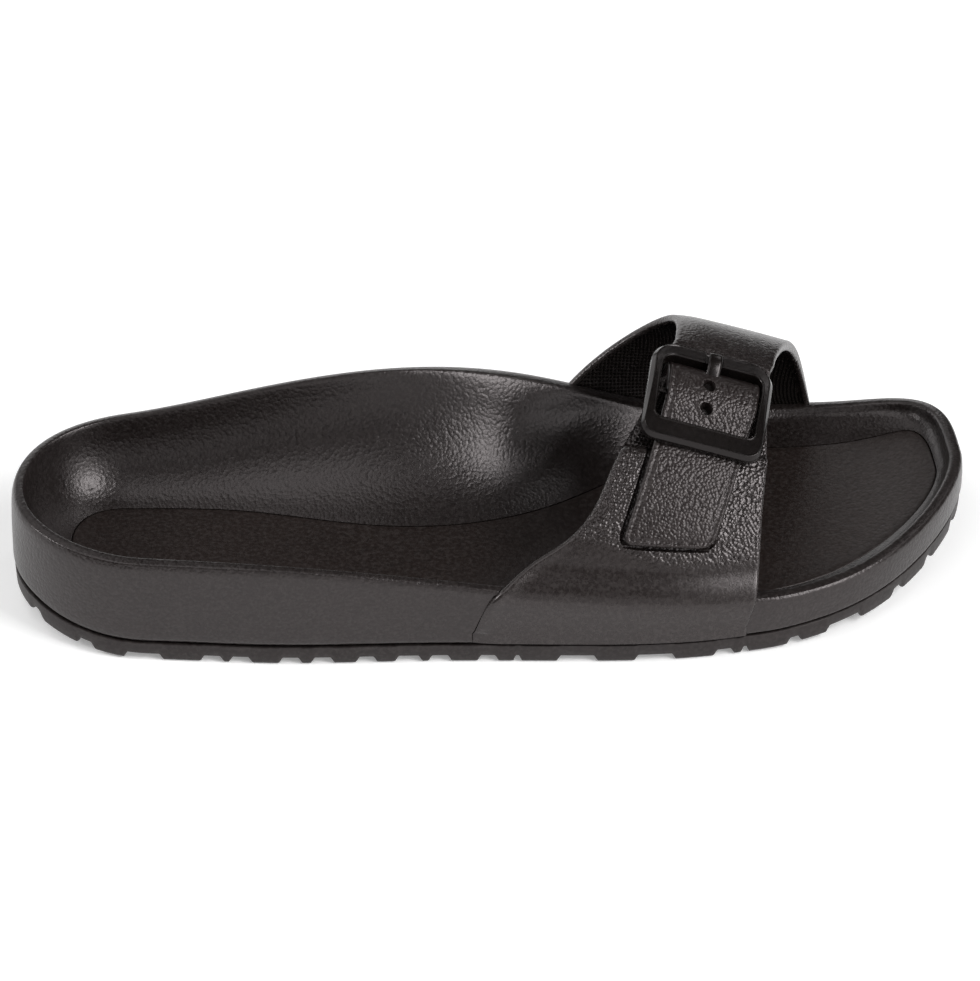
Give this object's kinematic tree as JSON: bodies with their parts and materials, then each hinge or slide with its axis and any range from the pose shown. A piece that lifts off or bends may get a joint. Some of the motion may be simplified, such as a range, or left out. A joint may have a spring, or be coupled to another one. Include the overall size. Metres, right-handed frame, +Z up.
{
  "type": "one-strap slide sandal",
  "caption": "Right slide sandal (mule) moulded in black foam: contoured footbed with raised rim and arch, cleated outsole, one broad strap closed by a pronged buckle.",
  "frame": {"origin": "centre of the bounding box, on the floor the sole stands on", "axes": "+X from heel to toe, +Y to the medial side of the foot, +Z up"},
  "size_m": [0.26, 0.0984, 0.068],
  "materials": {
    "foam": "satin, leather grain on the strap",
    "tread_foam": "matt",
    "floor_foam": "matt, fine grain",
    "buckle": "satin"
  },
  "bodies": {
    "root": {"outsole": "tread_foam", "footbed": "foam", "insole": "floor_foam", "upper": "foam", "buckle_frame": "buckle", "buckle_prong": "buckle"}
  },
  "joints": []
}
